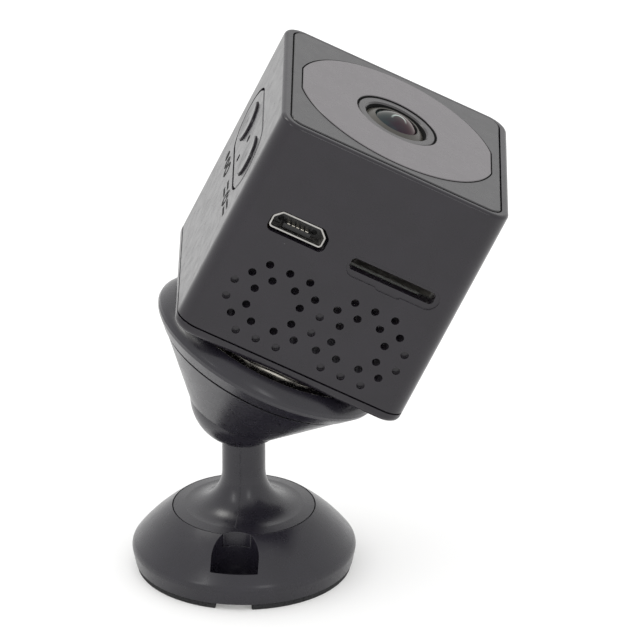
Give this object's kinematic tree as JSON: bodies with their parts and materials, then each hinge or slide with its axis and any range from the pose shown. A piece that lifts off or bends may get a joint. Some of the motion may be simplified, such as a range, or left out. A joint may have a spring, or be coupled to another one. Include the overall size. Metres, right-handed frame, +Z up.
{
  "type": "security camera",
  "caption": "Cube Wi-Fi security camera held by a magnet on a ball-joint stand with a round screw-down base.",
  "frame": {"origin": "middle of the foam pad's underside, on the stem's axis", "axes": "+Z up along the stem, the two wall-screw pockets on the Y axis, the lens leaning towards +X"},
  "size_m": [0.0508, 0.038, 0.0705],
  "materials": {
    "foam": "closed-cell foam",
    "stand_plastic": "satin moulded",
    "zinc_steel": "zinc plated",
    "cap_plastic": "natural moulded",
    "nickel": "nickel plated",
    "case_plastic": "soft-touch, fine grain",
    "key_plastic": "fine satin",
    "bezel_plastic": "fine satin",
    "window_plastic": "satin infrared window",
    "ring_plastic": "satin",
    "barrel_black": "black anodised look",
    "coated_glass": "anti-reflection coating",
    "inner_glass": "clear",
    "silicon": "moulded package",
    "circuit_board": "solder mask",
    "lamp_resin": "clear resin",
    "tinned_steel": "tin plated",
    "insulator": "moulded",
    "gold_contacts": "gold plated",
    "battery_wrap": "foil pouch",
    "speaker_metal": "drawn can",
    "flex_film": "polyimide film"
  },
  "bodies": {
    "stand": {"foam_pad": "foam", "base_ring": "stand_plastic", "base_plate": "zinc_steel", "stem_screw": "zinc_steel", "ball_stem": "stand_plastic"},
    "swivel_cap": {"friction_cap": "cap_plastic"},
    "cup": {"socket_cup": "stand_plastic", "cup_collar": "stand_plastic"},
    "magnet": {"magnet_pot": "nickel", "ring_magnet": "nickel"},
    "camera": {"main_housing": "case_plastic", "back_cover": "case_plastic", "cover_screws": "zinc_steel", "cover_steel_plate": "zinc_steel", "front_bezel": "bezel_plastic", "infrared_window": "window_plastic", "lens_ring": "ring_plastic", "lens_barrel": "barrel_black", "front_lens": "coated_glass", "rear_lenses": "inner_glass", "lens_holder": "barrel_black", "infrared_filter": "inner_glass", "image_sensor": "silicon", "sensor_board": "circuit_board", "lamp_board": "circuit_board", "infrared_lamps": "lamp_resin", "main_board": "circuit_board", "board_screws": "zinc_steel", "usb_shell": "tinned_steel", "usb_tongue": "insulator", "usb_contacts": "gold_contacts", "card_socket": "tinned_steel", "card_socket_base": "insulator", "shield_can": "tinned_steel", "radio_chip": "silicon", "processor_chip": "silicon", "battery": "battery_wrap", "speaker": "speaker_metal", "microphone": "speaker_metal", "antenna": "flex_film", "ribbon_cable": "flex_film", "ribbon_connectors": "insulator", "button_strip": "case_plastic", "light_pipes": "lamp_resin", "button_board": "circuit_board", "tact_switches": "tinned_steel", "status_lamps": "lamp_resin"},
    "mode_key": {"mode_button": "key_plastic"},
    "power_key": {"power_button": "key_plastic"}
  },
  "joints": [
    {"name": "ball_swivel", "type": "hinge", "parent": "stand", "child": "swivel_cap", "pos_m": [0, 0, 0.0251], "axis": [0, 0, 1], "continuous": true},
    {"name": "ball_tilt", "type": "hinge", "parent": "swivel_cap", "child": "cup", "pos_m": [0, 0, 0.0251], "axis": [-0.0819, 0.9966, 0], "range_deg": [-64, 12]},
    {"name": "camera_spin", "type": "hinge", "parent": "cup", "child": "magnet", "pos_m": [0, 0, 0.0251], "axis": [0.4369, 0.0359, 0.8988], "continuous": true},
    {"name": "camera_pull_off", "type": "slide", "parent": "magnet", "child": "camera", "axis": [0.4369, 0.0359, 0.8988], "range_m": [0, 0.012]},
    {"name": "mode_press", "type": "slide", "parent": "camera", "child": "mode_key", "axis": [0.8958, 0.0736, -0.4384], "range_m": [0, 0.0003], "stiffness_N_per_m": 2000},
    {"name": "power_press", "type": "slide", "parent": "camera", "child": "power_key", "axis": [0.8958, 0.0736, -0.4384], "range_m": [0, 0.0003], "stiffness_N_per_m": 2000}
  ]
}
